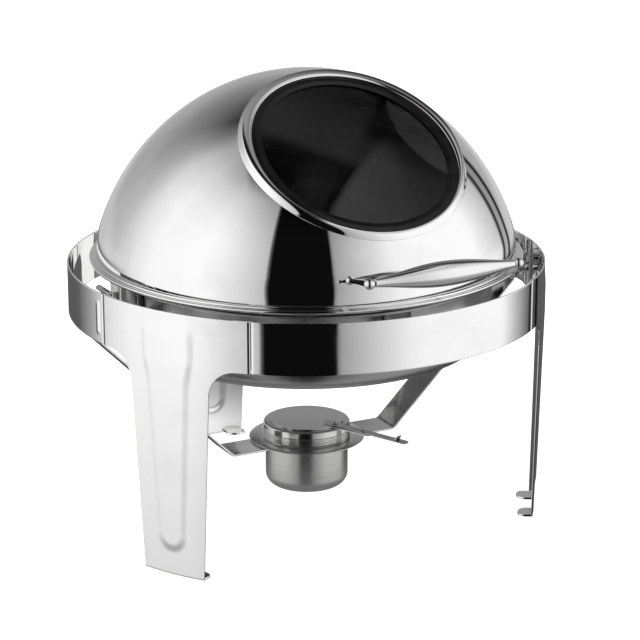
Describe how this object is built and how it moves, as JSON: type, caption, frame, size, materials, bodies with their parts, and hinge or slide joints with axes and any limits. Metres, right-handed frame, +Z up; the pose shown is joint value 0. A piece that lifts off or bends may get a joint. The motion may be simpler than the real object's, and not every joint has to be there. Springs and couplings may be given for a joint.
{
  "type": "roll top chafer",
  "caption": "Round roll-top chafing dish: domed lid with a tilted round window and a long handle, water and food pans in a legged hoop, burner below.",
  "frame": {"origin": "on the table under the middle of the overall box, which lies forward of the hoop's centre by the handle's reach", "axes": "+Z up, -Y towards the user, the handle and the window, +X to the user's right, along the lid's pivot axis"},
  "size_m": [0.4696, 0.5194, 0.4451],
  "materials": {
    "polished_steel": "mirror-polished stainless steel",
    "satin_steel": "satin stainless steel with a fine grain",
    "plated_steel": "bright plated fastener steel",
    "black_rubber": "smooth black heat-proof rubber",
    "nylon": "natural nylon",
    "smoked_glass": "smoke-tinted tempered glass"
  },
  "bodies": {
    "frame": {"front_left_leg": "polished_steel", "front_right_leg": "polished_steel", "rear_leg": "polished_steel", "front_band": "polished_steel", "left_band": "polished_steel", "right_band": "polished_steel", "water_pan": "polished_steel", "food_pan": "polished_steel", "burner_arm_left": "polished_steel", "burner_arm_right": "polished_steel", "burner_cover": "polished_steel", "pivot_bracket_left": "satin_steel", "pivot_bracket_right": "satin_steel", "pan_hanger_left": "satin_steel", "pan_hanger_right": "satin_steel", "pan_hanger_front": "satin_steel", "cup_ring": "satin_steel", "burner_cup": "satin_steel", "pivot_screw_left": "plated_steel", "pivot_screw_right": "plated_steel", "pivot_nut_left": "plated_steel", "pivot_nut_right": "plated_steel", "hanger_stud_left": "plated_steel", "hanger_stud_right": "plated_steel", "hanger_stud_front": "plated_steel", "hanger_nut_left": "plated_steel", "hanger_nut_right": "plated_steel", "hanger_nut_front": "plated_steel", "damper_pivot_rivet": "plated_steel", "pivot_spacer_left": "nylon", "pivot_spacer_right": "nylon"},
    "lid": {"lid_dome": "polished_steel", "window_bezel": "polished_steel", "handle_grip": "polished_steel", "handle_post_left": "polished_steel", "handle_post_right": "polished_steel", "lid_ear_left": "satin_steel", "lid_ear_right": "satin_steel", "window_retainer": "satin_steel", "handle_screw_left": "plated_steel", "handle_screw_right": "plated_steel", "window_gasket": "black_rubber", "window_glass": "smoked_glass"},
    "damper": {"damper_disc": "satin_steel", "damper_lever": "satin_steel", "lever_rivet": "plated_steel"}
  },
  "joints": [
    {"name": "lid_roll", "type": "hinge", "parent": "frame", "child": "lid", "pos_m": [0, 0.02468, 0.241], "axis": [-1, 0, 0], "range_deg": [0, 75]},
    {"name": "damper_swing", "type": "hinge", "parent": "frame", "child": "damper", "pos_m": [0.01464, -0.00821, 0.0886], "axis": [0, 0, 1], "range_deg": [-100, 0]}
  ]
}
